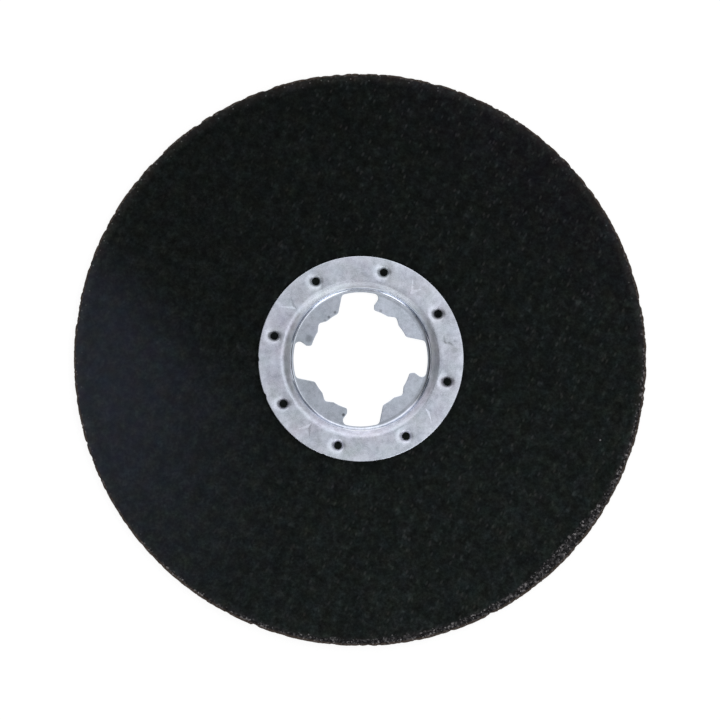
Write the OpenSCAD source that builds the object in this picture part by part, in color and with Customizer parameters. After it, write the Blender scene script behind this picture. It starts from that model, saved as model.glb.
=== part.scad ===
// Cut-off wheel: a flat abrasive disc carried by a stamped sheet-steel drive hub.
// The axis is Z, the flange side faces +Z, and the hub's four tabs lie on z = 0.

/* [Disc] */
// Outside diameter of the abrasive disc
disc_d = 125; // [115:1:150]
// Thickness of the abrasive disc
disc_t = 1.6; // [1:0.1:2.5]
// Gap between the disc's centre hole and the start of the hub's shoulder
disc_hole_gap = 0.15; // [0.05:0.05:0.3]
// Break on the disc's outer edges
rim_break = 0.15; // [0.05:0.05:0.3]
// Mean width of the bare grain band round the rim
grain_band = 1.2; // [1.2:0.1:3]
// How far the mesh-covered face sits off the axis
mesh_shift = 0.8; // [0:0.1:0.8]
// Direction of that shift
mesh_shift_deg = 125; // [0:1:359]
// Height of the mesh-covered face above the grain band
mesh_step = 0.08; // [0.04:0.02:0.2]

/* [Hub sheet] */
// Thickness of the steel sheet
sheet_t = 1; // [0.6:0.1:1.2]
// Outside diameter of the flange
flange_d = 45; // [44:0.5:48]
// Roll-over on the flange's upper edge
flange_edge_r = 0.3; // [0.1:0.05:0.4]

/* [Hub cup] */
// Inside diameter of the drawn cup
cup_d = 31.1; // [30:0.1:31.2]
// Depth of the cup, from the flange's face to the tabs' face
cup_depth = 3.5; // [3.5:0.1:5]
// Radius of the shoulder between flange and cup, on its face
shoulder_r = 2.3; // [1.6:0.05:2.35]
// Inside radius of the bend between cup and tabs
bend_r = 0.8; // [0.4:0.05:0.9]

/* [Tabs] */
// Diameter of the bore that the tab tips lie on
bore_d = 22.23; // [20:0.01:23]
// Diameter at the outer ends of the cross slots
slot_end_d = 29.4; // [28.6:0.1:29.8]
// Half width of a slot at its outer end, on the leaning side
slot_lean_w = 3.95; // [3.4:0.05:4.2]
// Angle of the leaning side to the slot's line
slot_lean_deg = 11.5; // [8:0.5:18]
// Radius on the tab corner of the leaning side
lean_corner_r = 0.9; // [0.3:0.05:1.2]
// Half width of a slot behind the hook of the other side
slot_hook_w = 3.85; // [3.65:0.05:4]
// Half width of a slot at the tip of the hook
hook_w = 2.95; // [2.7:0.05:3.05]
// Angle of the hook's back to the slot's line
hook_deg = 36; // [34:1:45]
// Radius on the hook's tip, towards the bore
hook_corner_r = 0.55; // [0.3:0.05:0.6]
// Radius on the hook's tip, towards its back
hook_knee_r = 0.6; // [0.2:0.05:0.7]
// Radius in the outer corners of a slot
slot_root_r = 1; // [0.5:0.05:1.1]
// Direction of the notch in the first tab
notch_deg = 49.5; // [46:0.5:53]
// Depth to which the notch's sides run
notch_depth = 0.95; // [0.5:0.05:1.2]
// Half width of the notch at the bore
notch_w = 1.6; // [1.2:0.05:2]
// Radius in the bottom of the notch
notch_r = 0.8; // [0.2:0.05:1]

/* [Collars] */
// Number of drawn collars in the flange
collar_n = 8; // [4:1:10]
// Direction of the first collar
collar_deg = 30.2; // [0:0.1:45]
// Diameter of the circle that the collars lie on
collar_pcd = 39.1; // [39.1:0.1:40]
// Diameter of the pierced hole
hole_d = 1.6; // [1.4:0.1:2.3]
// Radius of the rounded lip into the hole
lip_r = 1.1; // [0.4:0.05:1.2]
// Wall of a collar below the flange
collar_wall = 0.3; // [0.2:0.05:0.3]
// How far a collar reaches into the disc
collar_drop = 0.7; // [0.4:0.05:0.8]
// Gap round and under a collar in its pocket
pocket_gap = 0.05; // [0.02:0.01:0.1]

/* [Pressed triangles] */
// Direction of the first triangle
mark_deg = 52.5; // [50:0.5:55]
// Distance of a triangle's point from the axis
mark_point = 17.95; // [17.9:0.05:18.4]
// Length of a triangle along its radius
mark_length = 3.1; // [1.5:0.1:3.2]
// Width of a triangle's outer side
mark_w = 2.7; // [1.5:0.1:3]
// Depth of a triangle
mark_depth = 0.12; // [0.05:0.01:0.2]

/* [Hidden] */
$fn = 96;
disc_r = disc_d / 2;
flange_r = flange_d / 2;
bore_r = bore_d / 2;
cup_r = cup_d / 2;
slot_r = slot_end_d / 2;
hole_r = hole_d / 2;
collar_r = hole_r + collar_wall;
collar_at = collar_pcd / 2;
pocket_r = collar_r + pocket_gap;
pocket_depth = collar_drop + pocket_gap;
// Heights above the tabs' lower face
flange_z = cup_depth;
top_z = cup_depth + sheet_t;
disc_z = flange_z - disc_t;
// Centres of the two bends in the hub's section
shoulder_x = cup_r + shoulder_r;
shoulder_z = top_z - shoulder_r;
bend_x = cup_r - bend_r;
bend_z = sheet_t + bend_r;
disc_hole_r = shoulder_x + disc_hole_gap;
// Fillets of a slot run this far past its end, and tab corners and notches start this far inside the bore
overrun = 0.02;
root_d = slot_r - slot_root_r + overrun;
// Where the rounded lip of a hole runs out into the flange's face
lip_end_deg = 75;

// Points on an arc
function arc(c, r, from, to, steps) =
    [for (i = [0 : steps]) let (a = from + (to - from) * i / steps) c + r * [cos(a), sin(a)]];

// Offset from the axis of a slot side that has half width w at the slot's end and leans by a
function side_offset(w, a) = w * cos(a) + slot_r * sin(a);

// Centre of a circle of radius r at distance d from the axis, that lies n along the side's normal
function side_centre(a, n, d) = n * [sin(a), cos(a)] + sqrt(d * d - n * n) * [cos(a), -sin(a)];

// Ends of a half outline: inside the bore, and beyond the slot's end
function half_start(c) = [0.6 * bore_r * c / norm(c)];
function half_end(f) = [(slot_r + 1) * f / norm(f)];

// Leaning half of a slot's outline above the X axis, from the bore out to beyond the slot's end:
// round the tab's corner, along the side and into the root's fillet
function lean_half() =
    let (a = slot_lean_deg,
         o = side_offset(slot_lean_w, a),
         c = side_centre(a, o + lean_corner_r, bore_r + lean_corner_r - overrun),
         f = side_centre(a, o - slot_root_r, root_d),
         c_deg = atan2(c[1], c[0]),
         f_deg = atan2(f[1], f[0]))
    concat(half_start(c),
           arc(c, lean_corner_r, c_deg - 180, -90 - a, 6),
           arc(f, slot_root_r, 90 - a, f_deg, 6),
           half_end(f));

// Hooked half, drawn above the X axis too: round the hook's tip, up its back and into the root's fillet
function hook_half() =
    let (a = hook_deg,
         c_y = hook_w + hook_corner_r,
         c = [sqrt(pow(bore_r + hook_corner_r - overrun, 2) - c_y * c_y), c_y],
         f_y = slot_hook_w - slot_root_r,
         f = [sqrt(root_d * root_d - f_y * f_y), f_y],
         o = f[1] * cos(a) - f[0] * sin(a) + slot_root_r,
         k_y = hook_w + hook_knee_r,
         k = [max(c[0] + 0.05, (k_y * cos(a) - o - hook_knee_r) / sin(a)), k_y],
         c_deg = atan2(c[1], c[0]),
         f_deg = atan2(f[1], f[0]))
    concat(half_start(c),
           arc(c, hook_corner_r, c_deg - 180, -90, 6),
           arc(k, hook_knee_r, -90, a - 90, 4),
           arc(f, slot_root_r, 90 + a, f_deg, 8),
           half_end(f));

// Mirror of a point list in the X axis, turned end for end
function below(points) = [for (i = [len(points) - 1 : -1 : 0]) [points[i][0], -points[i][1]]];

// One cross slot along +X
module slot_outline() {
    polygon(concat(lean_half(), below(hook_half())));
}

// Notch in a tab's tip along +X
module notch_outline() {
    mouth = sqrt(bore_r * bore_r - notch_w * notch_w) - overrun;
    reach = bore_r + notch_depth;
    slope = atan2(reach - mouth, notch_w);
    bottom = [reach - notch_r / cos(slope), 0];
    polygon(concat([[mouth - 1, -notch_w]],
                   [[mouth, -notch_w]],
                   arc(bottom, notch_r, -slope, slope, 8),
                   [[mouth, notch_w]],
                   [[mouth - 1, notch_w]]));
}

// Opening between the tabs
module opening_outline() {
    intersection() {
        circle(r = slot_r);
        union() {
            circle(r = bore_r);
            for (k = [0 : 3]) {
                rotate(90 * k) slot_outline();
                rotate(90 * k + notch_deg) notch_outline();
            }
        }
    }
}

// Quarter of a ring in the first quadrant
module quarter(inner, outer) {
    intersection() {
        difference() {
            circle(r = outer);
            if (inner > 0) circle(r = inner);
        }
        square(outer);
    }
}

// Section of the stamped sheet, from the axis to the flange's edge
module sheet_section() {
    edge_x = flange_r - flange_edge_r;
    square([bend_x, sheet_t]);
    translate([bend_x, bend_z]) mirror([0, 1]) quarter(bend_r, bend_r + sheet_t);
    translate([cup_r, bend_z]) square([sheet_t, shoulder_z - bend_z]);
    translate([shoulder_x, shoulder_z]) mirror([1, 0]) quarter(shoulder_r - sheet_t, shoulder_r);
    translate([shoulder_x, flange_z]) square([edge_x - shoulder_x, sheet_t]);
    translate([edge_x, flange_z]) square([flange_edge_r, sheet_t - flange_edge_r]);
    translate([edge_x, top_z - flange_edge_r]) quarter(0, flange_edge_r);
}

// Pierced hole with a rounded lip, cut downwards from the flange's face
module lipped_hole() {
    lip_z = top_z - lip_r * sin(lip_end_deg);
    low_z = flange_z - collar_drop - 1;
    rotate_extrude() {
        translate([0, low_z]) square([hole_r, lip_z - low_z]);
        difference() {
            translate([0, lip_z]) square([hole_r + lip_r, lip_r + 1]);
            translate([hole_r + lip_r, lip_z]) circle(r = lip_r);
        }
    }
}

// Shallow triangle with its point towards the axis
module pressed_triangle() {
    translate([0, 0, top_z - mark_depth]) linear_extrude(height = 1)
        polygon([[mark_point, 0],
                 [mark_point + mark_length, -mark_w / 2],
                 [mark_point + mark_length, mark_w / 2]]);
}

module abrasive_disc() {
    color([0.09, 0.1, 0.1]) difference() {
        union() {
            // Grain body with its broken edges
            translate([0, 0, disc_z]) rotate_extrude() polygon([
                [disc_hole_r - 1, 0],
                [disc_r - rim_break, 0],
                [disc_r, rim_break],
                [disc_r, disc_t - mesh_step - rim_break],
                [disc_r - rim_break, disc_t - mesh_step],
                [disc_hole_r - 1, disc_t - mesh_step]]);
            // Face that the mesh covers
            rotate(mesh_shift_deg) translate([mesh_shift, 0, flange_z - mesh_step - 0.2])
                cylinder(r = disc_r - grain_band, h = mesh_step + 0.2);
        }
        translate([0, 0, disc_z - 1]) cylinder(r = disc_hole_r, h = disc_t + 2);
        for (k = [0 : collar_n - 1])
            rotate(collar_deg + 360 * k / collar_n)
                translate([collar_at, 0, flange_z - pocket_depth]) cylinder(r = pocket_r, h = 2);
    }
}

module drive_hub() {
    color([0.74, 0.75, 0.79]) difference() {
        union() {
            rotate_extrude() sheet_section();
            for (k = [0 : collar_n - 1])
                rotate(collar_deg + 360 * k / collar_n)
                    translate([collar_at, 0, flange_z - collar_drop])
                        cylinder(r = collar_r, h = collar_drop + sheet_t / 2);
        }
        translate([0, 0, -1]) linear_extrude(height = bend_z + 1.5) opening_outline();
        for (k = [0 : collar_n - 1])
            rotate(collar_deg + 360 * k / collar_n) translate([collar_at, 0, 0]) lipped_hole();
        for (k = [0 : 3])
            rotate(mark_deg + 90 * k) pressed_triangle();
    }
}

abrasive_disc();
drive_hub();
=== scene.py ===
import bpy
import bmesh
import math
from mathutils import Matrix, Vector


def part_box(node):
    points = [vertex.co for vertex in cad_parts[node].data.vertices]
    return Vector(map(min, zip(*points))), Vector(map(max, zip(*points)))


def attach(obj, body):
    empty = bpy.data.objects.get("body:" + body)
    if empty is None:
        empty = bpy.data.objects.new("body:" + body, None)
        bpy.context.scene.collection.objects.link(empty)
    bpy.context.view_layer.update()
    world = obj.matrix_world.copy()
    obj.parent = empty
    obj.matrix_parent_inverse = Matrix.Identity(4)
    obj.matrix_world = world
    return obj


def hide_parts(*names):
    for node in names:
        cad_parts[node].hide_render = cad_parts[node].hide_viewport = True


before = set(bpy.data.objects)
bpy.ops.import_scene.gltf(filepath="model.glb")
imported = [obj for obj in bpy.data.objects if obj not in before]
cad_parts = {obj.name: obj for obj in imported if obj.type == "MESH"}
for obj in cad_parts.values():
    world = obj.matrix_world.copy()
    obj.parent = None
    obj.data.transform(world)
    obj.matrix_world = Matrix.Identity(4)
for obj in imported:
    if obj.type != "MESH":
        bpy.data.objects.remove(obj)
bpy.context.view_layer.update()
mm = 0.001  # sizes below are in millimetres and become metres as a mesh is made
print("frame loaded")


# Node trees written as expressions

def heading(turn):  # a level direction, in degrees from +X
    return (math.cos(math.radians(turn)), math.sin(math.radians(turn)), 0)


class Wire:  # one socket, usable in plain sums
    def __init__(self, board, socket):
        self.board = board
        self.socket = socket

    def other(self, name):  # another output of the same node
        return Wire(self.board, self.socket.node.outputs[name])

    def __add__(self, other):
        return self.board.sum("ADD", self, other)

    def __radd__(self, other):
        return self.board.sum("ADD", other, self)

    def __sub__(self, other):
        return self.board.sum("SUBTRACT", self, other)

    def __rsub__(self, other):
        return self.board.sum("SUBTRACT", other, self)

    def __mul__(self, other):
        return self.board.sum("MULTIPLY", self, other)

    def __rmul__(self, other):
        return self.board.sum("MULTIPLY", other, self)

    def __truediv__(self, other):
        return self.board.sum("DIVIDE", self, other)

    def __rtruediv__(self, other):
        return self.board.sum("DIVIDE", other, self)

    def __pow__(self, other):
        return self.board.sum("POWER", self, other)

    def __rpow__(self, other):
        return self.board.sum("POWER", other, self)

    def __abs__(self):
        return self.board.sum("ABSOLUTE", self)

    def __gt__(self, other):
        return self.board.sum("GREATER_THAN", self, other)

    def __lt__(self, other):
        return self.board.sum("LESS_THAN", self, other)


class Board:  # a node tree and the one method that adds a node to it
    def __init__(self, tree):
        self.tree = tree
        tree.nodes.clear()

    def feed(self, socket, value):
        if isinstance(value, list):  # a socket that takes several links
            for one in value:
                self.feed(socket, one)
        elif isinstance(value, Wire):
            self.tree.links.new(value.socket, socket)
        else:
            socket.default_value = value

    def node(self, kind, settings=None, inputs=None, output=0):
        made = self.tree.nodes.new(kind)
        for name, value in (settings or {}).items():
            if name == "stops":
                self.setStops(made.color_ramp, value)
            else:
                setattr(made, name, value)
        for name, value in (inputs or {}).items():
            self.feed(made.inputs[name], value)
        return Wire(self, made.outputs[output]) if len(made.outputs) else made

    def setStops(self, ramp, stops):
        while len(ramp.elements) < len(stops):
            ramp.elements.new(0.5)
        for element, (place, colour) in zip(ramp.elements, stops):
            element.position = place
            element.color = (*colour, 1)

    def sum(self, operation, *values):
        return self.node("ShaderNodeMath", {"operation": operation}, dict(enumerate(values)))

    def vector(self, operation, *values, output=0):
        return self.node("ShaderNodeVectorMath", {"operation": operation}, dict(enumerate(values)), output)

    def scaled(self, vector, factor):
        return self.node("ShaderNodeVectorMath", {"operation": "SCALE"}, {0: vector, "Scale": factor})

    def along(self, place, direction):
        return self.vector("DOT_PRODUCT", place, direction, output="Value")

    def facing(self, place, radius, turn):  # 1 towards a heading, 0 from a quarter turn away
        return self.sum("MAXIMUM", self.along(place, heading(turn)) / radius, 0.0)

    def wave(self, turns, sharpness):  # 1 at whole turns, falling to 0 half way between them
        return (0.5 + 0.5 * self.sum("COSINE", turns * (2 * math.pi))) ** sharpness

    def ease(self, value, low, high):
        settings = {"interpolation_type": "SMOOTHSTEP"}
        inputs = {"Value": value, "From Min": low, "From Max": high}
        return self.node("ShaderNodeMapRange", settings, inputs)

    def within(self, value, rise, fall):  # 1 between two eased edges, each a pair of values
        return self.ease(value, *rise) * self.ease(value, *fall)

    def clamp(self, value):
        return self.node("ShaderNodeClamp", None, {"Value": value})

    def noise(self, place, size, detail=2.0, output=0):  # size is the width of one blotch
        inputs = {"Vector": place, "Scale": 1 / size, "Detail": detail}
        return self.node("ShaderNodeTexNoise", {"noise_dimensions": "3D"}, inputs, output)

    def swing(self, place, size, detail=2.0):  # noise either side of 0
        return self.noise(place, size, detail) - 0.5

    def cells(self, place, size):
        return self.node("ShaderNodeTexVoronoi", None, {"Vector": place, "Scale": 1 / size}, "Color")

    def specks(self, place, spacing, radius, share):  # small round dots in a share of the cells
        cell = self.cells(place, spacing)
        pick = self.node("ShaderNodeSeparateColor", None, {"Color": cell})
        near = cell.other("Distance") * spacing
        return self.ease(near, radius, 0.4 * radius) * (pick < share)

    def lineDistance(self, place, start, end):  # from a point to a straight stroke
        way = Vector((*end, 0)) - Vector((*start, 0))
        off = self.vector("SUBTRACT", place, (*start, 0))
        share = self.clamp(self.along(off, tuple(way / way.length_squared)))
        foot = self.scaled(tuple(way), share)
        return self.vector("DISTANCE", off, foot, output="Value")

    def mix(self, factor, first, second, blend="MIX"):
        settings = {"data_type": "RGBA", "blend_type": blend}
        return self.node("ShaderNodeMix", settings, {0: factor, 6: first, 7: second}, 2)


# Meshes

def pieceFrom(name, points, faces):
    mesh = bpy.data.meshes.new(name)
    mesh.from_pydata([Vector(p) * mm for p in points], [], faces)
    piece = bpy.data.objects.new(name, mesh)
    bpy.context.scene.collection.objects.link(piece)
    return piece


def ringFaces(loops, points, closed):  # quads between loops of equal length, each loop closed on itself
    faces = []
    for i in range(loops if closed else loops - 1):
        a = i * points
        b = (i + 1) % loops * points
        for j in range(points):
            k = (j + 1) % points
            faces.append((a + j, a + k, b + k, b + j))
    return faces


def faceOutwards(piece):
    work = bmesh.new()
    work.from_mesh(piece.data)
    bmesh.ops.recalc_face_normals(work, faces=work.faces)
    work.to_mesh(piece.data)
    work.free()


def turned(name, section, steps, centreX):  # section in (radius, height), turned round its own axis
    points = []
    for r, z in section:
        for j in range(steps):
            a = 2 * math.pi * j / steps
            points.append((centreX + r * math.cos(a), r * math.sin(a), z))
    faces = ringFaces(len(section), steps, False)
    faces.append(tuple(range(steps)))
    faces.append(tuple(range((len(section) - 1) * steps, len(section) * steps)))
    piece = pieceFrom(name, points, faces)
    faceOutwards(piece)
    return piece


def arc(centre, radius, start, end, steps):  # angles in degrees
    angles = [math.radians(start + (end - start) * i / steps) for i in range(steps + 1)]
    return [(centre[0] + radius * math.cos(a), centre[1] + radius * math.sin(a)) for a in angles]


def newTree(name, inputs):  # a geometry tree with named inputs, and the wires from them
    tree = bpy.data.node_groups.new(name, "GeometryNodeTree")
    board = Board(tree)
    tree.interface.new_socket(name="Geometry", in_out="OUTPUT", socket_type="NodeSocketGeometry")
    sockets = {}
    for label, kind in {"Geometry": "Geometry", **inputs}.items():
        kind = "NodeSocket" + kind
        sockets[label] = tree.interface.new_socket(name=label, in_out="INPUT", socket_type=kind)
    entry = board.node("NodeGroupInput")
    return board, sockets, {label: entry.other(label) for label in sockets}


def meshPlace(board):  # a point of the mesh, in millimetres
    return board.scaled(board.node("GeometryNodeInputPosition"), 1 / mm)


def endTree(board, geometry, material):
    real = board.node("GeometryNodeRealizeInstances", None, {"Geometry": geometry})
    done = board.node("GeometryNodeSetMaterial", None, {"Geometry": real, "Material": material})
    board.node("NodeGroupOutput", None, {"Geometry": done})


def runTree(piece, board, sockets, values):  # runs the tree on a piece and keeps its result as a plain mesh
    modifier = piece.modifiers.new("build", "NODES")
    modifier.node_group = board.tree
    for label, value in values.items():
        modifier[sockets[label].identifier] = value
    graph = bpy.context.evaluated_depsgraph_get()
    result = bpy.data.meshes.new_from_object(piece.evaluated_get(graph))
    piece.modifiers.remove(modifier)
    piece.data = result
    piece.data.name = piece.name


def smooth(piece, angle):
    piece.data.shade_smooth()
    piece.data.set_sharp_from_angle(angle=math.radians(angle))


# Finishes

def newFinish(name):
    material = bpy.data.materials.new(name)
    material.use_nodes = True
    return material, Board(material.node_tree)


def surfacePlace(board):  # a point of the surface, in millimetres
    return board.scaled(board.node("ShaderNodeTexCoord", None, None, "Object"), 1 / mm)


def endFinish(board, inputs):
    surface = board.node("ShaderNodeBsdfPrincipled", None, inputs)
    board.node("ShaderNodeOutputMaterial", None, {"Surface": surface})


# Abrasive disc: rings round the axis, then woven relief and a ragged rim

weave = {  # the glass mesh that shows through the face
    "warpPitch": 3.347, "warpTurn": -24.5, "warpPhase": 0.315,
    "weftPitch": 3.851, "weftTurn": -114.2, "weftPhase": 0.0625,
    "knuckleHeight": 0.07, "knuckleSharpness": 3.0, "strandHeight": 0.03, "strandSharpness": 2.0,
    "between": 0.35, "betweenSharpness": 5.0, "wander": 0.9, "wanderSize": 9.0,
}
disc = {  # the moulded wheel
    "hole": 18.0, "flangeCover": 21.8, "coverGap": 0.2, "bandDrop": 0.08, "edgeBreak": 0.15,
    "ringStep": 0.46, "sectors": 800, "rimRows": 5, "lowRings": (56.0, 46.0, 36.0, 26.0), "lowInset": 1.0,
    "ragged": 0.38, "biteSize": 0.95, "wideBite": 0.7, "wideBiteSize": 2.4, "worn": 0.25, "wornSize": 0.7,
}
band = {  # bare grain round the rim: a thin line, a wide crescent and the worn spot in it
    "least": 0.5, "crescent": 1.2, "crescentTurn": -62, "crescentSharpness": 1.5,
    "spot": 1.3, "spotTurn": -42, "spotSharpness": 60, "waver": 1.3, "waverSize": 1.2,
    "grainSize": 0.40, "fringe": (0.075, 0.056, 0.044),
    "shades": [(0.0, (0.007, 0.007, 0.007)), (0.40, (0.015, 0.015, 0.016)), (0.65, (0.036, 0.035, 0.037)),
               (0.85, (0.077, 0.074, 0.077)), (0.97, (0.20, 0.19, 0.195))],
}
face = {  # the woven face: grain as doublings of its tone, and triples of red, green and blue
    "tone": 0.0076, "tint": (0.845, 1.10, 1.04), "hue": (0.5, 0.15, 0.5),
    "fine": 2.8, "grit": 1.6, "lumps": 2.2, "patches": 1.4, "knuckles": 0.85, "shift": -0.10,
    # painted sheen: colour, heading and straight edge of the pale bluish reflection on one side of the face
    "paintedSheen": (0.0110, 0.0120, 0.0190), "paintedSheenTurn": 186, "paintedSheenEdgeTurn": 43.3, "paintedSheenEdge": -21.0,
    "violet": (0.0012, 0.0, 0.0015), "violetTurn": 45,
    "thin": (0.007, 0.004, 0.004), "thinTone": 0.85, "coveredTurn": 215,
    "fleck": 0.012, "fleckTurn": 62, "spark": 0.12, "rimSpark": 0.09,
}
discLow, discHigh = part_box("abrasive_disc")
discRadius = min(-discLow.x, discHigh.x) / mm
discTop = discHigh.z / mm
discBottom = discLow.z / mm


def weaveTurns(board, place):  # how many pitches a point lies along the warp and the weft
    turns = []
    for yarn in ("warp", "weft"):
        a = math.radians(weave[yarn + "Turn"])
        way = (math.cos(a) / weave[yarn + "Pitch"], math.sin(a) / weave[yarn + "Pitch"], 0)
        turns.append(board.along(place, way) - weave[yarn + "Phase"])
    return turns


def weaveKnuckles(board, warp, weft):
    crossing = board.wave(warp, weave["knuckleSharpness"]) * board.wave(weft, weave["knuckleSharpness"])
    between = board.wave(warp, weave["betweenSharpness"]) * board.wave(weft + 0.5, weave["betweenSharpness"])
    return crossing + weave["between"] * between


def bandDepth(board, place):  # how far a point lies inside the band, negative on the woven face
    flat = board.vector("MULTIPLY", place, (1, 1, 0))
    radius = board.vector("LENGTH", flat, output="Value")
    crescent = board.facing(flat, radius, band["crescentTurn"]) ** band["crescentSharpness"]
    spot = board.facing(flat, radius, band["spotTurn"]) ** band["spotSharpness"]
    width = band["least"] + band["crescent"] * crescent + band["spot"] * spot
    return radius - discRadius + width + band["waver"] * board.swing(place, band["waverSize"])


def abrasiveFinish():
    material, board = newFinish("abrasive")
    place = surfacePlace(board)
    split = board.node("ShaderNodeSeparateXYZ", None, {"Vector": place})
    x, y = split, split.other("Y")
    radius = board.sum("SQRT", x * x + y * y)
    wander = board.noise(place, weave["wanderSize"], 1.0, "Color")
    wander = board.vector("SUBTRACT", wander, (0.5, 0.5, 0.5))
    pulled = board.vector("MULTIPLY_ADD", wander, (weave["wander"], weave["wander"], 0.0), place)
    warp, weft = weaveTurns(board, pulled)
    knuckles = weaveKnuckles(board, warp, weft)
    clear = board.ease(board.noise(place, 6.0, 2.0), 0.32, 0.62) * (0.35 + 0.65 * board.ease(x, -35, 15))
    fine = board.swing(place, 0.60, 2.0)
    grit = board.swing(place, 0.26, 1.0)
    lumps = board.swing(place, 1.3, 1.0)
    patches = board.swing(place, 2.8, 1.0)
    stops = face["fine"] * fine + face["grit"] * grit + face["lumps"] * lumps + face["patches"] * patches
    stops = stops + face["knuckles"] * knuckles * (0.2 + 0.8 * clear) + face["shift"]
    tone = face["tone"] * 2.0 ** stops

    outward = board.ease(radius, discRadius - 2.6, discRadius - 0.5)  # paler where the mesh thins out
    outward = outward * (1 - 0.6 * board.facing(place, radius, face["coveredTurn"]) ** 2)
    tone = tone * (1 + 0.0014 * x - 0.0052 * y + 0.0018 * radius + face["thinTone"] * outward)
    edge = board.along(place, heading(face["paintedSheenEdgeTurn"])) - face["paintedSheenEdge"]
    paintedSheen = board.facing(place, radius, face["paintedSheenTurn"]) ** 4  # painted sheen: a pale bluish reflection on one side, with a straight edge
    paintedSheen = paintedSheen * board.ease(edge, 5, -12) * board.clamp((radius - 18) / 36)
    violet = board.ease(board.along(place, heading(face["violetTurn"])), 38, 60)
    slant = board.node("ShaderNodeCombineXYZ", None, {
        0: board.along(place, heading(face["fleckTurn"])) * 0.5,
        1: board.along(place, heading(face["fleckTurn"] + 90))})
    dots = face["fleck"] * board.specks(slant, 1.10, 0.34, 0.6) * (0.3 + 0.7 * board.ease(x, -40, 5))
    dots = dots + face["spark"] * board.specks(place, 13.0, 0.26, 0.35)
    dots = dots + outward * face["rimSpark"] * board.specks(place, 0.8, 0.22, 0.30)
    channels = {}
    for i in range(3):
        channels[i] = tone * face["tint"][i] + face["paintedSheen"][i] * paintedSheen + face["violet"][i] * violet
        channels[i] = channels[i] + face["thin"][i] * outward + dots
    grey = board.node("ShaderNodeCombineColor", None, channels)
    hue = board.vector("SUBTRACT", board.noise(place, 3.2, 1.0, "Color"), (0.5, 0.5, 0.5))
    hue = board.vector("MULTIPLY_ADD", hue, face["hue"], (1, 1, 1))
    woven = board.vector("MULTIPLY", grey, hue)

    cell = board.node("ShaderNodeSeparateColor", None, {"Color": board.cells(place, band["grainSize"])})
    bare = board.node("ShaderNodeValToRGB", {"stops": band["shades"]}, {"Fac": cell})
    inBand = board.ease(bandDepth(board, place), -0.25, 0.35)
    fringe = board.ease(radius, discRadius - 0.75, discRadius - 0.25)
    rimColour = board.mix(0.75 * fringe, bare, (*band["fringe"], 1))
    colour = board.mix(inBand, woven, rimColour)
    height = 0.06 * fine + 0.04 * grit + 0.03 * knuckles + 0.08 * inBand * cell
    relief = board.node("ShaderNodeBump", None, {"Strength": 0.5, "Distance": mm, "Height": height})
    endFinish(board, {"Base Color": colour, "Roughness": 0.70 - 0.10 * knuckles, "Normal": relief,
                      "Specular IOR Level": 0.04})
    return material


def discBlank():
    coverTop = discTop - disc["bandDrop"]
    radii = [disc["hole"], disc["flangeCover"]]
    while radii[-1] + 1.5 * disc["ringStep"] < discRadius - disc["edgeBreak"]:
        radii.append(radii[-1] + disc["ringStep"])
    section = [(disc["hole"], discBottom)]
    section += [(r, discTop) for r in radii]
    rows = disc["rimRows"]
    low = discBottom + disc["edgeBreak"]
    high = coverTop - disc["edgeBreak"]
    section.append((discRadius - disc["edgeBreak"], coverTop))
    section += [(discRadius, high + (low - high) * i / rows) for i in range(rows + 1)]
    section.append((discRadius - disc["edgeBreak"], discBottom))
    section += [(r, discBottom) for r in (discRadius - disc["lowInset"], *disc["lowRings"])]
    points = []
    for r, z in section:
        for j in range(disc["sectors"]):
            a = 2 * math.pi * j / disc["sectors"]
            points.append((r * math.cos(a), r * math.sin(a), z))
    blank = pieceFrom("wheelDisc", points, ringFaces(len(section), disc["sectors"], True))
    faceOutwards(blank)
    return blank


def discTree():
    board, sockets, wires = newTree("woven disc", {
        "Knuckle height": "Float", "Strand height": "Float", "Band drop": "Float", "Ragged": "Float"})
    place = meshPlace(board)
    x = board.node("ShaderNodeSeparateXYZ", None, {"Vector": place})
    y = x.other("Y")
    z = x.other("Z")
    radius = board.sum("SQRT", x * x + y * y)
    onFace = (z > discTop - 0.001) * (radius > disc["flangeCover"] + disc["coverGap"])
    warp, weft = weaveTurns(board, place)
    relief = weaveKnuckles(board, warp, weft) * wires["Knuckle height"]
    strands = board.wave(warp, weave["strandSharpness"]) + board.wave(weft, weave["strandSharpness"])
    relief = relief + strands * wires["Strand height"]
    relief = relief - wires["Knuckle height"] - 2 * wires["Strand height"]  # stays below the solid's face
    inBand = board.ease(bandDepth(board, place), -0.3, 0.4)
    worn = disc["worn"] * board.swing(place, disc["wornSize"]) - wires["Band drop"]
    lift = onFace * ((1 - inBand) * relief + inBand * worn)
    rim = board.ease(radius, discRadius - 1.2, discRadius - 0.1)
    bite = board.ease(board.noise(place, disc["biteSize"], 2.0), 0.46, 0.72)
    bite = bite + disc["wideBite"] * board.ease(board.noise(place, disc["wideBiteSize"], 1.0), 0.48, 0.70)
    inward = rim * (0 - bite * wires["Ragged"])
    offset = board.node("ShaderNodeCombineXYZ", None, {
        0: x / radius * inward * mm, 1: y / radius * inward * mm, 2: lift * mm})
    shaped = board.node("GeometryNodeSetPosition", None, {"Geometry": wires["Geometry"], "Offset": offset})
    endTree(board, shaped, abrasive)
    return board, sockets


abrasive = abrasiveFinish()
wheelDisc = discBlank()
board, sockets = discTree()
runTree(wheelDisc, board, sockets, {
    "Knuckle height": weave["knuckleHeight"], "Strand height": weave["strandHeight"],
    "Band drop": disc["bandDrop"], "Ragged": disc["ragged"]})
wheelDisc.data.shade_smooth()
print("disc made:", len(wheelDisc.data.polygons), "faces")


# Bare grain that stands out of the band round the rim

grain = {
    "perSquareMm": 3.4, "least": 0.10, "most": 0.27, "seed": 4, "toneSeed": 11, "flatness": (1.0, 0.8, 0.65),
    "shades": [(0.0, (0.007, 0.007, 0.007)), (0.40, (0.015, 0.015, 0.016)), (0.68, (0.034, 0.033, 0.035)),
               (0.88, (0.080, 0.076, 0.080)), (0.98, (0.20, 0.19, 0.195))],
}


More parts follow.
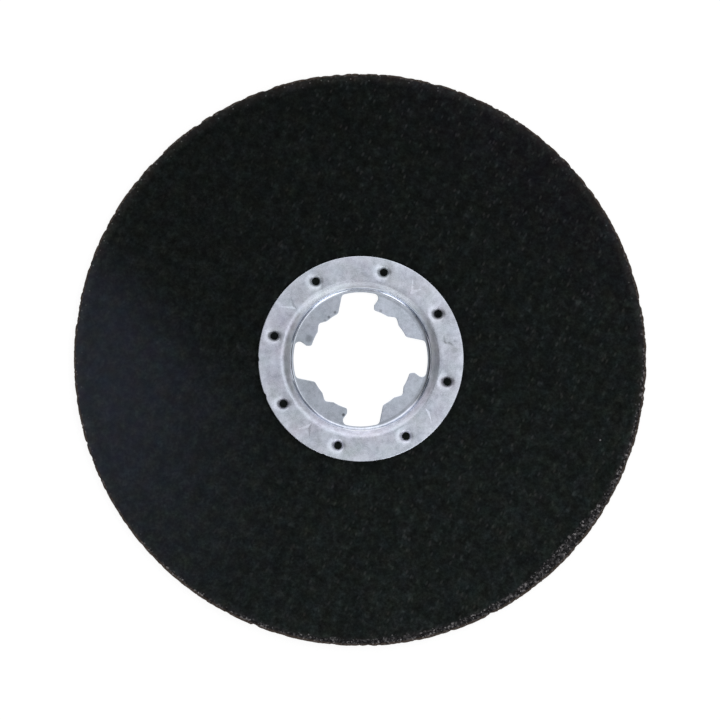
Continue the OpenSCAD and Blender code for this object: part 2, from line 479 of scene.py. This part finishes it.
def grainFinish():
    material, board = newFinish("rim grain")
    tone = board.node("ShaderNodeAttribute", {"attribute_name": "tone"}, None, "Fac")
    colour = board.node("ShaderNodeValToRGB", {"stops": grain["shades"]}, {"Fac": tone})
    endFinish(board, {"Base Color": colour, "Roughness": 0.55, "Specular IOR Level": 0.1})
    return material


def grainTree():
    board, sockets, wires = newTree("rim grain", {
        "Density": "Float", "Least": "Float", "Most": "Float", "Seed": "Int"})
    place = meshPlace(board)
    x = board.node("ShaderNodeSeparateXYZ", None, {"Vector": place})
    y = x.other("Y")
    radius = board.sum("SQRT", x * x + y * y)
    inBand = (bandDepth(board, place) > 0.1) * (radius < discRadius - 0.45) * (x.other("Z") > discTop - 0.4)
    points = board.node("GeometryNodeDistributePointsOnFaces", {"distribute_method": "RANDOM"}, {
        "Mesh": wires["Geometry"], "Selection": inBand, "Density": wires["Density"], "Seed": wires["Seed"]})
    sizes = board.node("FunctionNodeRandomValue", {"data_type": "FLOAT"},
                       {2: wires["Least"], 3: wires["Most"], "Seed": wires["Seed"]}, 1)
    turns = board.node("FunctionNodeRandomValue", {"data_type": "FLOAT_VECTOR"},
                       {0: (0, 0, 0), 1: (6.28, 6.28, 6.28), "Seed": wires["Seed"]}, 0)
    lump = board.node("GeometryNodeMeshIcoSphere", None, {"Radius": mm, "Subdivisions": 1})
    flat = board.scaled(grain["flatness"], sizes)
    lumps = board.node("GeometryNodeInstanceOnPoints", None, {
        "Points": points, "Instance": lump, "Rotation": turns, "Scale": flat})
    tones = board.node("FunctionNodeRandomValue", {"data_type": "FLOAT"},
                       {2: 0.0, 3: 1.0, "Seed": grain["toneSeed"]}, 1)
    toned = board.node("GeometryNodeStoreNamedAttribute", {"data_type": "FLOAT", "domain": "INSTANCE"},
                       {"Geometry": lumps, "Name": "tone", "Value": tones})
    endTree(board, toned, rimGrainFinish)
    return board, sockets


rimGrainFinish = grainFinish()
rimGrain = bpy.data.objects.new("rimGrain", wheelDisc.data.copy())
bpy.context.scene.collection.objects.link(rimGrain)
board, sockets = grainTree()
runTree(rimGrain, board, sockets, {
    "Density": grain["perSquareMm"] / mm ** 2, "Least": grain["least"], "Most": grain["most"],
    "Seed": grain["seed"]})
print("rim grain made:", len(rimGrain.data.polygons), "faces")


# Drive hub: one stamped sheet, built as closed loops from the opening out to the flange and back underneath

hub = {
    "sheet": 1.0, "boreRadius": 11.115, "slotRadius": 14.7, "cupRadius": 15.55, "cupDepth": 3.5,
    "shoulderRadius": 2.3, "bendRadius": 0.8, "flangeRadius": 22.40, "flangeEdge": 0.2,
    "leanWidth": 3.95, "leanTurn": 11.5, "leanCorner": 0.9, "slotRoot": 1.0,
    "slotHookWidth": 3.85, "hookWidth": 2.95, "hookTurn": 36.0, "hookCorner": 0.55, "hookKnee": 0.6,
    "notchTurn": 49.5, "notchDepth": 0.95, "notchWidth": 1.6, "notchBottom": 0.8,
    "topRoll": 0.12, "lowRoll": 0.06, "joinRadius": 15.0,
    "plateRows": 8, "bendSteps": 10, "shoulderSteps": 28, "flangeRows": 12, "edgeSteps": 8,
    "lowFlangeRows": 4, "lowShoulderSteps": 14, "sharpAngle": 13,
}
collar = {
    "count": 8, "turn": 30.2, "circle": 19.50, "hole": 0.8, "lip": 1.1, "lipEnd": 75,
    "wall": 0.3, "drop": 0.7, "overlap": 0.4, "dimple": 2.85, "dimpleDepth": 0.18, "dimpleSteps": 6,
    "steps": 40, "cutBelow": 0.5, "cutAbove": 0.4, "cutFlare": 0.02,
}
mark = {  # a pressed triangle, and how far its flanks run out at the point, the sides and the base
    "count": 4, "turn": 52.5, "point": 17.60, "length": 3.2, "width": 3.5, "depth": 0.14, "slope": 0.55,
    "pointRun": 2, "sideRun": 2.7, "baseRun": 3,
}
nicks = [(180.5, 0.16, 1.3), (201.0, 0.22, 1.5), (249.0, 0.10, 1.2)]  # turn, depth, half width in degrees
steel = {  # the plating; a zone is a height, or two, at which it starts and is full
    "colour": (0.582, 0.617, 0.706), "cloud": 0.6, "mottle": 0.55, "fine": 0.5, "roughness": 0.28,
    "tab": (1.12, 1.02), "flange": (4.2, 4.4),
    "foot": ((1.01, 1.06), (3.0, 2.2)), "shoulder": ((1.7, 2.2), (4.42, 4.0)),
    "wall": ((1.0, 1.1), (3.9, 3.2)), "waist": ((1.6, 1.9), (3.3, 2.8)),
    # painted shade in the crease at the tabs' root
    "creasePaintedShade": 0.22, "creasePaintedShadeRadius": 14.62, "deepCreasePaintedShade": 0.48, "deepCreasePaintedShadeRadius": 15.1,
    # painted shade on the cup's wall by the slots, painted highlight on its waist between them
    "levelSlotsPaintedShade": 0.26, "farSlotPaintedShade": 0.25, "offSlotsPaintedHighlight": 0.36, "brightest": 1.4,
    # painted highlight and painted shade on the shoulder
    "shoulderPaintedHighlight": 0.18, "shoulderPaintedShade": 0.30,
}
wear = {  # stains as x, y, size and depth; the scratch as the points it runs through
    "stains": [(-5.62, 10.26, 0.45, 0.5), (-6.96, 9.22, 0.42, 0.5), (-7.79, 8.51, 0.35, 0.3),
               (-11.3, 4.5, 1.15, 0.40), (-3.75, -12.15, 0.50, 0.7), (4.42, 10.6, 0.50, 0.35),
               (20.5, 3.9, 0.40, 0.24), (20.55, 1.9, 0.75, 0.16), (20.5, 5.3, 0.60, 0.10)],
    "scratch": [(18.1, 4.75), (18.2, 3.75), (18.45, 3.45), (19.2, 3.5), (19.6, 3.3), (20.0, 2.95)],
    "scratchDepth": 0.24, "scratchWidth": (0.32, 0.06),
}
hubTop = hub["cupDepth"] + hub["sheet"]
bendX = hub["cupRadius"] - hub["bendRadius"]
bendZ = hub["sheet"] + hub["bendRadius"]
shoulderX = hub["cupRadius"] + hub["shoulderRadius"]
shoulderZ = hubTop - hub["shoulderRadius"]


def steelFinish():
    material, board = newFinish("plated steel")
    place = surfacePlace(board)
    split = board.node("ShaderNodeSeparateXYZ", None, {"Vector": place})
    x, y, height = split, split.other("Y"), split.other("Z")
    flat = board.vector("MULTIPLY", place, (1, 1, 0))
    radius = board.vector("LENGTH", flat, output="Value")
    cloud = board.swing(place, 3.4, 3.0)
    mottle = board.swing(place, 1.1, 3.0)
    fine = board.swing(place, 0.30, 2.0)
    burnished = board.within(height, *steel["foot"])  # foot of the cup's wall
    drawn = board.within(height, *steel["shoulder"])  # its satin shoulder
    onTab = board.ease(height, *steel["tab"])
    onFlange = board.ease(height, *steel["flange"])

    level = steel["cloud"] * cloud + steel["mottle"] * mottle + steel["fine"] * fine
    level = 1 + level * (1 - 0.2 * onTab)
    # painted shade on the tabs down in the cup, less of it towards +X and +Y
    tabPaintedShade = 0.215 - 0.0065 * x - 0.0015 * y - 0.07 * board.ease(x + y, 6, 18)
    # the flange is darker towards -X and towards its outer edge
    flangeDarkening = 0.085 - 0.003 * x - 0.11 * board.ease(radius, 20.4, 21.8)
    level = level * (1 + 0.15 * burnished - onTab * tabPaintedShade) * (1 - onFlange * flangeDarkening)
    creasePaintedShade = board.ease(abs(radius - steel["creasePaintedShadeRadius"]), 0.38, 0.10)
    creasePaintedShade = steel["creasePaintedShade"] * board.ease(x, -6, 4) * creasePaintedShade
    deepCreasePaintedShade = board.ease(abs(radius - steel["deepCreasePaintedShadeRadius"]), 0.42, 0.16)
    deepCreasePaintedShade = steel["deepCreasePaintedShade"] * board.ease(x, 9.8, 12.8) * deepCreasePaintedShade
    level = level * (1 - (creasePaintedShade + deepCreasePaintedShade))  # painted shade in the crease at the tabs' root, deeper on the right

    bySlotPaintedShade = steel["levelSlotsPaintedShade"] * board.ease(abs(y), 4.6, 2.2)
    bySlotPaintedShade = bySlotPaintedShade + steel["farSlotPaintedShade"] * board.ease(abs(x), 4.6, 2.2) * board.ease(y, 0, 8)
    offSlotsPaintedHighlight = steel["offSlotsPaintedHighlight"] * board.ease(abs(y), 7.5, 11.5) * board.within(height, *steel["waist"])
    bySlotPaintedShade = bySlotPaintedShade * board.within(height, *steel["wall"])
    level = level * (1 - bySlotPaintedShade) * (1 + offSlotsPaintedHighlight)  # painted shade on the wall by the slots, painted highlight on its waist away from them
    level = board.sum("MINIMUM", level, steel["brightest"])
    bright = steel["shoulderPaintedHighlight"] * board.ease(abs(y), 11, 14.5) * board.ease(y, 16.0, 14.4)
    dull = steel["shoulderPaintedShade"] * board.ease(abs(x), 12.8, 16.2)
    level = level * (1 + drawn * (bright - dull))  # painted highlight on the shoulder towards ±Y and painted shade on it towards ±X

    for spotX, spotY, size, depth in wear["stains"]:
        off = board.vector("DISTANCE", flat, (spotX, spotY, 0), output="Value")
        level = level * (1 - depth * board.ease(off, size, 0.3 * size))
    for start, end in zip(wear["scratch"], wear["scratch"][1:]):
        stroke = board.ease(board.lineDistance(flat, start, end), *wear["scratchWidth"])
        level = level * (1 - wear["scratchDepth"] * stroke)
    red, green, blue = steel["colour"]
    green = green + 0.016 * onTab - 0.022 * drawn * board.ease(y, 2, -9)
    blue = blue + 0.026 * onTab - 0.032 * drawn
    plain = board.node("ShaderNodeCombineColor", None, {0: level * red, 1: level * green, 2: level * blue})
    tint = board.noise(place, 4.5, 2.0, "Color")
    colour = board.mix(0.08 - 0.05 * onTab, plain, tint, "OVERLAY")
    rough = steel["roughness"] - 0.15 * burnished + 0.28 * drawn + 0.14 * mottle + 0.10 * cloud
    relief = board.node("ShaderNodeBump", None, {
        "Strength": 0.3, "Distance": mm, "Height": 0.022 * mottle + 0.008 * fine})
    endFinish(board, {"Base Color": colour, "Metallic": 1.0, "Roughness": rough, "Normal": relief})
    return material


def between(a, b, steps):  # points strictly between two points
    return [tuple(p + (q - p) * i / steps for p, q in zip(a, b)) for i in range(1, steps)]


def degreesOf(point):
    return math.degrees(math.atan2(point[1], point[0]))


def leanHalf():  # from the bore, round the tab's corner and along the side to the slot's end
    lean = hub["leanTurn"]
    s = math.sin(math.radians(lean))
    c = math.cos(math.radians(lean))
    offset = hub["leanWidth"] * c + hub["slotRadius"] * s

    def centreAt(across, reach):
        run = math.sqrt(reach ** 2 - across ** 2)
        return (across * s + run * c, across * c - run * s)

    tip = centreAt(offset + hub["leanCorner"], hub["boreRadius"] + hub["leanCorner"])
    root = centreAt(offset - hub["slotRoot"], hub["slotRadius"] - hub["slotRoot"])
    corner = arc(tip, hub["leanCorner"], degreesOf(tip) - 180, -90 - lean, 8)
    fillet = arc(root, hub["slotRoot"], 90 - lean, degreesOf(root), 8)
    return corner + between(corner[-1], fillet[0], 10) + fillet, degreesOf(tip), degreesOf(root)


def hookHalf():  # the same for the hooked side, drawn above the slot's line too
    turn = hub["hookTurn"]
    s = math.sin(math.radians(turn))
    c = math.cos(math.radians(turn))
    tipY = hub["hookWidth"] + hub["hookCorner"]
    tip = (math.sqrt((hub["boreRadius"] + hub["hookCorner"]) ** 2 - tipY ** 2), tipY)
    rootY = hub["slotHookWidth"] - hub["slotRoot"]
    root = (math.sqrt((hub["slotRadius"] - hub["slotRoot"]) ** 2 - rootY ** 2), rootY)
    offset = root[1] * c - root[0] * s + hub["slotRoot"]
    kneeY = hub["hookWidth"] + hub["hookKnee"]
    knee = ((kneeY * c - offset - hub["hookKnee"]) / s, kneeY)
    corner = arc(tip, hub["hookCorner"], degreesOf(tip) - 180, -90, 11)
    back = arc(knee, hub["hookKnee"], -90, turn - 90, 5)
    fillet = arc(root, hub["slotRoot"], 90 + turn, degreesOf(root), 12)
    side = corner + between(corner[-1], back[0], 3) + back + between(back[-1], fillet[0], 5) + fillet
    return side, degreesOf(tip), degreesOf(root)


def notch():
    mouth = math.sqrt(hub["boreRadius"] ** 2 - hub["notchWidth"] ** 2)
    reach = hub["boreRadius"] + hub["notchDepth"]
    slope = math.degrees(math.atan2(reach - mouth, hub["notchWidth"]))
    bottom = (reach - hub["notchBottom"] / math.cos(math.radians(slope)), 0)
    middle = arc(bottom, hub["notchBottom"], -slope, slope, 8)
    first = (mouth, -hub["notchWidth"])
    last = (mouth, hub["notchWidth"])
    cut = [first] + between(first, middle[0], 4) + middle + between(middle[-1], last, 4) + [last]
    return cut, math.degrees(math.asin(hub["notchWidth"] / hub["boreRadius"]))


def rotated(points, turn):
    c = math.cos(math.radians(turn))
    s = math.sin(math.radians(turn))
    return [(x * c - y * s, x * s + y * c) for x, y in points]


def openingOutline():  # once round the opening, with the angle at which each point meets the cup's wall
    lean, leanTip, leanRoot = leanHalf()
    hook, hookTip, hookRoot = hookHalf()
    hook = rotated([(x, -y) for x, y in hook], 90)
    cut, halfCut = notch()
    bore = hub["boreRadius"]
    cutTurn = hub["notchTurn"]
    tab = lean[::-1]
    tab += arc((0, 0), bore, leanTip, cutTurn - halfCut, 14)[1:-1]
    tab += rotated(cut, cutTurn)
    tab += arc((0, 0), bore, cutTurn + halfCut, 90 - hookTip, 14)[1:-1]
    tab += hook
    run = [0.0]
    for a, b in zip(tab, tab[1:]):
        run.append(run[-1] + math.dist(a, b))
    tabTurns = [leanRoot + (90 - hookRoot - leanRoot) * r / run[-1] for r in run]
    slotTurns = [-hookRoot + (hookRoot + leanRoot) * i / 24 for i in range(1, 24)]
    slot = [(hub["slotRadius"] * math.cos(math.radians(t)), hub["slotRadius"] * math.sin(math.radians(t)))
            for t in slotTurns]
    outline = []
    turns = []
    for k in range(4):
        outline += rotated(slot + tab, 90 * k)
        turns += [t + 90 * k for t in slotTurns + tabTurns]
    return outline, turns


def bendHeight(r, radius):  # height of the cup's floor, turning up into its wall
    over = max(0.0, min(r - bendX, radius))
    return bendZ - math.sqrt(radius ** 2 - over ** 2)


def hubBlank():
    outline, turns = openingOutline()
    count = len(outline)
    inner = hub["bendRadius"]
    outer = hub["bendRadius"] + hub["sheet"]
    into = []  # from the opening's edge into the sheet
    for i in range(count):
        a = Vector(outline[i - 1])
        b = Vector(outline[(i + 1) % count])
        way = (b - a).normalized()
        into.append(Vector((way.y, -way.x)))
    rays = [Vector((math.cos(math.radians(t)), math.sin(math.radians(t)))) for t in turns]
    loops = []

    def edgeLoop(offset, rise, bend):
        loop = []
        for p, n in zip(outline, into):
            q = Vector(p) + n * offset
            loop.append((q.x, q.y, bendHeight(q.length, bend) + rise))
        loops.append(loop)

    def plateLoop(share, roll, bend):  # share of the way from the edge to where the bend becomes round
        loop = []
        for p, n, ray in zip(outline, into, rays):
            q = (Vector(p) + n * roll).lerp(ray * hub["joinRadius"], share)
            loop.append((q.x, q.y, bendHeight(q.length, bend)))
        loops.append(loop)

    def roundLoop(r, z):
        loop = []
        for ray, t in zip(rays, turns):
            dent = 0.0
            if r > hub["flangeRadius"] - 0.5:
                for turn, depth, half in nicks:
                    off = abs((t - turn + 180) % 360 - 180) / half
                    dent += depth * max(0.0, 1 - off * off)
            loop.append((ray.x * (r - dent), ray.y * (r - dent), z))
        loops.append(loop)

    low = hub["lowRoll"]
    top = hub["topRoll"]
    corner = 1 - math.sqrt(0.5)
    edgeLoop(low, 0, outer)
    edgeLoop(corner * low, corner * low, outer)
    edgeLoop(0, low, outer)
    edgeLoop(0, -top, inner)
    edgeLoop(corner * top, -corner * top, inner)
    edgeLoop(top, 0, inner)
    for i in range(1, hub["plateRows"] + 1):
        plateLoop(i / hub["plateRows"], top, inner)
    joinTurn = math.degrees(math.asin((hub["joinRadius"] - bendX) / inner))
    for x, z in arc((bendX, bendZ), inner, joinTurn - 90, 0, hub["bendSteps"])[1:]:
        roundLoop(x, z)
    for x, z in arc((shoulderX, shoulderZ), hub["shoulderRadius"], 180, 90, hub["shoulderSteps"]):
        roundLoop(x, z)
    flat = hub["flangeRadius"] - hub["flangeEdge"]
    rows = hub["flangeRows"]
    for i in range(1, rows + 1):
        roundLoop(shoulderX + (flat - shoulderX) * i / rows, hubTop)
    for x, z in arc((flat, hubTop - hub["flangeEdge"]), hub["flangeEdge"], 90, 0, hub["edgeSteps"])[1:]:
        roundLoop(x, z)
    roundLoop(hub["flangeRadius"], hub["cupDepth"] + low)
    roundLoop(hub["flangeRadius"] - low, hub["cupDepth"])
    rows = hub["lowFlangeRows"]
    for i in range(1, rows + 1):
        roundLoop(flat + (shoulderX - flat) * i / rows, hub["cupDepth"])
    lowRadius = hub["shoulderRadius"] - hub["sheet"]
    for x, z in arc((shoulderX, shoulderZ), lowRadius, 90, 180, hub["lowShoulderSteps"])[1:]:
        roundLoop(x, z)
    joinTurn = math.degrees(math.asin((hub["joinRadius"] - bendX) / outer))
    for x, z in arc((bendX, bendZ), outer, 0, joinTurn - 90, hub["bendSteps"]):
        roundLoop(x, z)
    for i in range(hub["plateRows"] - 1, 0, -1):
        plateLoop(i / hub["plateRows"], low, outer)
    points = [p for loop in loops for p in loop]
    blank = pieceFrom("driveHub", points, ringFaces(len(loops), count, True))
    faceOutwards(blank)
    return blank


def lipCutter():
    lipZ = hubTop - collar["dimpleDepth"] - collar["lip"] * math.sin(math.radians(collar["lipEnd"]))
    lowZ = hub["cupDepth"] - collar["drop"] - collar["cutBelow"]
    reach = collar["hole"] + collar["lip"]
    section = [(collar["hole"], lowZ)]
    section += arc((reach, lipZ), collar["lip"], 180, 180 - collar["lipEnd"], 10)
    start = section[-1][0]
    for i in range(collar["dimpleSteps"]):  # a shallow dimple where the sheet is drawn in
        share = (i + 1) / collar["dimpleSteps"]
        r = start + (collar["dimple"] - start) * share
        section.append((r, hubTop - collar["dimpleDepth"] * (1 - share) ** 2))
    section.append((collar["dimple"] + collar["cutFlare"], hubTop + collar["cutAbove"]))
    return turned("lipCutter", section, collar["steps"], collar["circle"])


def collarBlank():
    outer = collar["hole"] + collar["wall"]
    section = [(outer, hub["cupDepth"] - collar["drop"]), (outer, hub["cupDepth"] + collar["overlap"])]
    return turned("collarBlank", section, collar["steps"], collar["circle"])


def markCutter():
    start = mark["point"]
    end = start + mark["length"]
    half = mark["width"] / 2
    points = []
    for grow, z in ((-mark["slope"], hubTop - mark["depth"]), (mark["slope"], hubTop + mark["depth"])):
        side = half + mark["sideRun"] * grow
        base = end + mark["baseRun"] * grow
        points += [(start - mark["pointRun"] * grow, 0, z), (base, -side, z), (base, side, z)]
    faces = [(2, 1, 0), (3, 4, 5), (0, 1, 4, 3), (1, 2, 5, 4), (2, 0, 3, 5)]
    piece = pieceFrom("markCutter", points, faces)
    faceOutwards(piece)
    return piece


def pierceTree():
    board, sockets, wires = newTree("pierced flange", {
        "Collar": "Object", "Lip": "Object", "Mark": "Object",
        "Collars": "Int", "Collar turn": "Float", "Marks": "Int", "Mark turn": "Float"})

    def ringOf(shape, count, turn):
        source = board.node("GeometryNodeObjectInfo", None, {"Object": wires[shape]}, "Geometry")
        spots = board.node("GeometryNodeMeshLine", None, {"Count": wires[count], "Offset": (0, 0, 0)})
        number = board.node("GeometryNodeInputIndex")
        angle = wires[turn] + number * (2 * math.pi) / wires[count]
        spin = board.node("ShaderNodeCombineXYZ", None, {"Z": angle})
        ring = board.node("GeometryNodeInstanceOnPoints", None, {
            "Points": spots, "Instance": source, "Rotation": spin})
        return board.node("GeometryNodeRealizeInstances", None, {"Geometry": ring})

    def combined(operation, meshes):
        settings = {"operation": operation, "solver": "EXACT"}
        return board.node("GeometryNodeMeshBoolean", settings, meshes, "Mesh")

    collars = ringOf("Collar", "Collars", "Collar turn")
    lips = ringOf("Lip", "Collars", "Collar turn")
    marks = ringOf("Mark", "Marks", "Mark turn")
    body = combined("UNION", {"Mesh 2": [wires["Geometry"], collars]})
    body = combined("DIFFERENCE", {"Mesh 1": body, "Mesh 2": lips})
    body = combined("DIFFERENCE", {"Mesh 1": body, "Mesh 2": marks})
    endTree(board, body, platedSteel)
    return board, sockets


platedSteel = steelFinish()
driveHub = hubBlank()
tools = {"Collar": collarBlank(), "Lip": lipCutter(), "Mark": markCutter()}
board, sockets = pierceTree()
runTree(driveHub, board, sockets, {
    **tools, "Collars": collar["count"], "Collar turn": math.radians(collar["turn"]),
    "Marks": mark["count"], "Mark turn": math.radians(mark["turn"])})
for tool in tools.values():
    bpy.data.objects.remove(tool)
smooth(driveHub, hub["sharpAngle"])
print("hub made:", len(driveHub.data.polygons), "faces")

for piece, node, finish in (
        (wheelDisc, "abrasive_disc", "abrasive"),
        (driveHub, "drive_hub", "plated_steel")):
    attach(piece, "root")
    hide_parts(node)
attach(rimGrain, "root")
print("pieces placed")


# Stage: pale floor, soft lamps and a camera a little off the wheel's axis

stage = {
    "floor": 0.25, "floorGlow": 0.85, "floorHalf": 4000, "floorGap": 0.02, "world": 0.21,
    "lens": 150.29, "cameraHeight": 0.658, "sensor": 36.0,
    "cameraX": -16.0, "cameraY": -23.5, "aimX": -0.21, "aimY": -0.28, "aimZ": 4.0,
}
lamps = [  # name, place, width and height, brightness of its face
    ("above", (0.22, 0, 1.2), (2.0, 2.24), 0.565),
    ("above right", (0.55, 0, 1.03), (0.70, 0.65), 0.30),
    ("right near", (0.47, -0.47, 0.78), (0.60, 0.72), 0.39),
    ("right beyond", (0.53, 0.40, 0.78), (0.48, 0.72), 0.28),
    ("left near", (-0.68, -0.42, 0.62), (0.42, 0.46), 0.25),
    ("above beyond", (0.25, 0.80, 1.2), (1.0, 0.45), 0.28),
    ("beyond", (-0.15, 0.98, 0.50), (2.1, 1.02), 1.06),
    ("near fill", (0.05, -0.93, 0.58), (2.2, 0.72), 0.40),
    ("near left", (-0.52, -0.98, 0.22), (0.38, 0.50), 2.2),
    ("near right", (0.52, -0.98, 0.24), (0.60, 0.54), 2.4),
]


def floorFinish():
    material, board = newFinish("floor")
    rays = board.node("ShaderNodeLightPath")
    seen = rays.other("Is Camera Ray") + rays.other("Is Glossy Ray") + rays.other("Is Transmission Ray")
    seen = board.sum("MINIMUM", seen, 1.0)
    glow = board.mix(seen, (0, 0, 0, 1), (1, 1, 1, 1))
    pale = (stage["floor"],) * 3 + (1,)
    endFinish(board, {"Base Color": pale, "Roughness": 0.9, "Specular IOR Level": 0.0,
                      "Emission Color": glow, "Emission Strength": stage["floorGlow"]})
    return material


def addFloor():
    half = stage["floorHalf"]
    z = -stage["floorGap"]
    corners = [(-half, -half, z), (half, -half, z), (half, half, z), (-half, half, z)]
    floor = pieceFrom("floor", corners, [(0, 1, 2, 3)])
    floor.data.materials.append(floorFinish())


def addLamp(name, place, size, brightness):
    data = bpy.data.lights.new(name, "AREA")
    data.shape = "RECTANGLE"
    data.size, data.size_y = size
    data.energy = brightness * math.pi * size[0] * size[1]
    lamp = bpy.data.objects.new(name, data)
    lamp.location = place
    lamp.rotation_euler = (-Vector(place)).to_track_quat("-Z", "Y").to_euler()
    lamp.visible_camera = False
    bpy.context.scene.collection.objects.link(lamp)


def addCamera():
    data = bpy.data.cameras.new("camera")
    data.lens = stage["lens"]
    data.sensor_width = stage["sensor"]
    data.clip_start = 0.01
    camera = bpy.data.objects.new("camera", data)
    camera.location = (stage["cameraX"] * mm, stage["cameraY"] * mm, stage["cameraHeight"])
    above = stage["cameraHeight"] / mm - stage["aimZ"]  # it stands aside a little and looks at the hub
    tiltX = math.atan((stage["aimY"] - stage["cameraY"]) / above)
    tiltY = math.atan((stage["cameraX"] - stage["aimX"]) / above)
    camera.rotation_euler = (tiltX, tiltY, 0)
    bpy.context.scene.collection.objects.link(camera)
    bpy.context.scene.camera = camera


def setWorld():
    world = bpy.data.worlds.new("studio")
    bpy.context.scene.world = world
    world.use_nodes = True
    world.node_tree.nodes["Background"].inputs["Color"].default_value = (stage["world"],) * 3 + (1,)


addFloor()
for lamp in lamps:
    addLamp(*lamp)
setWorld()
addCamera()
bpy.context.scene.view_settings.view_transform = "Standard"
print("stage set")
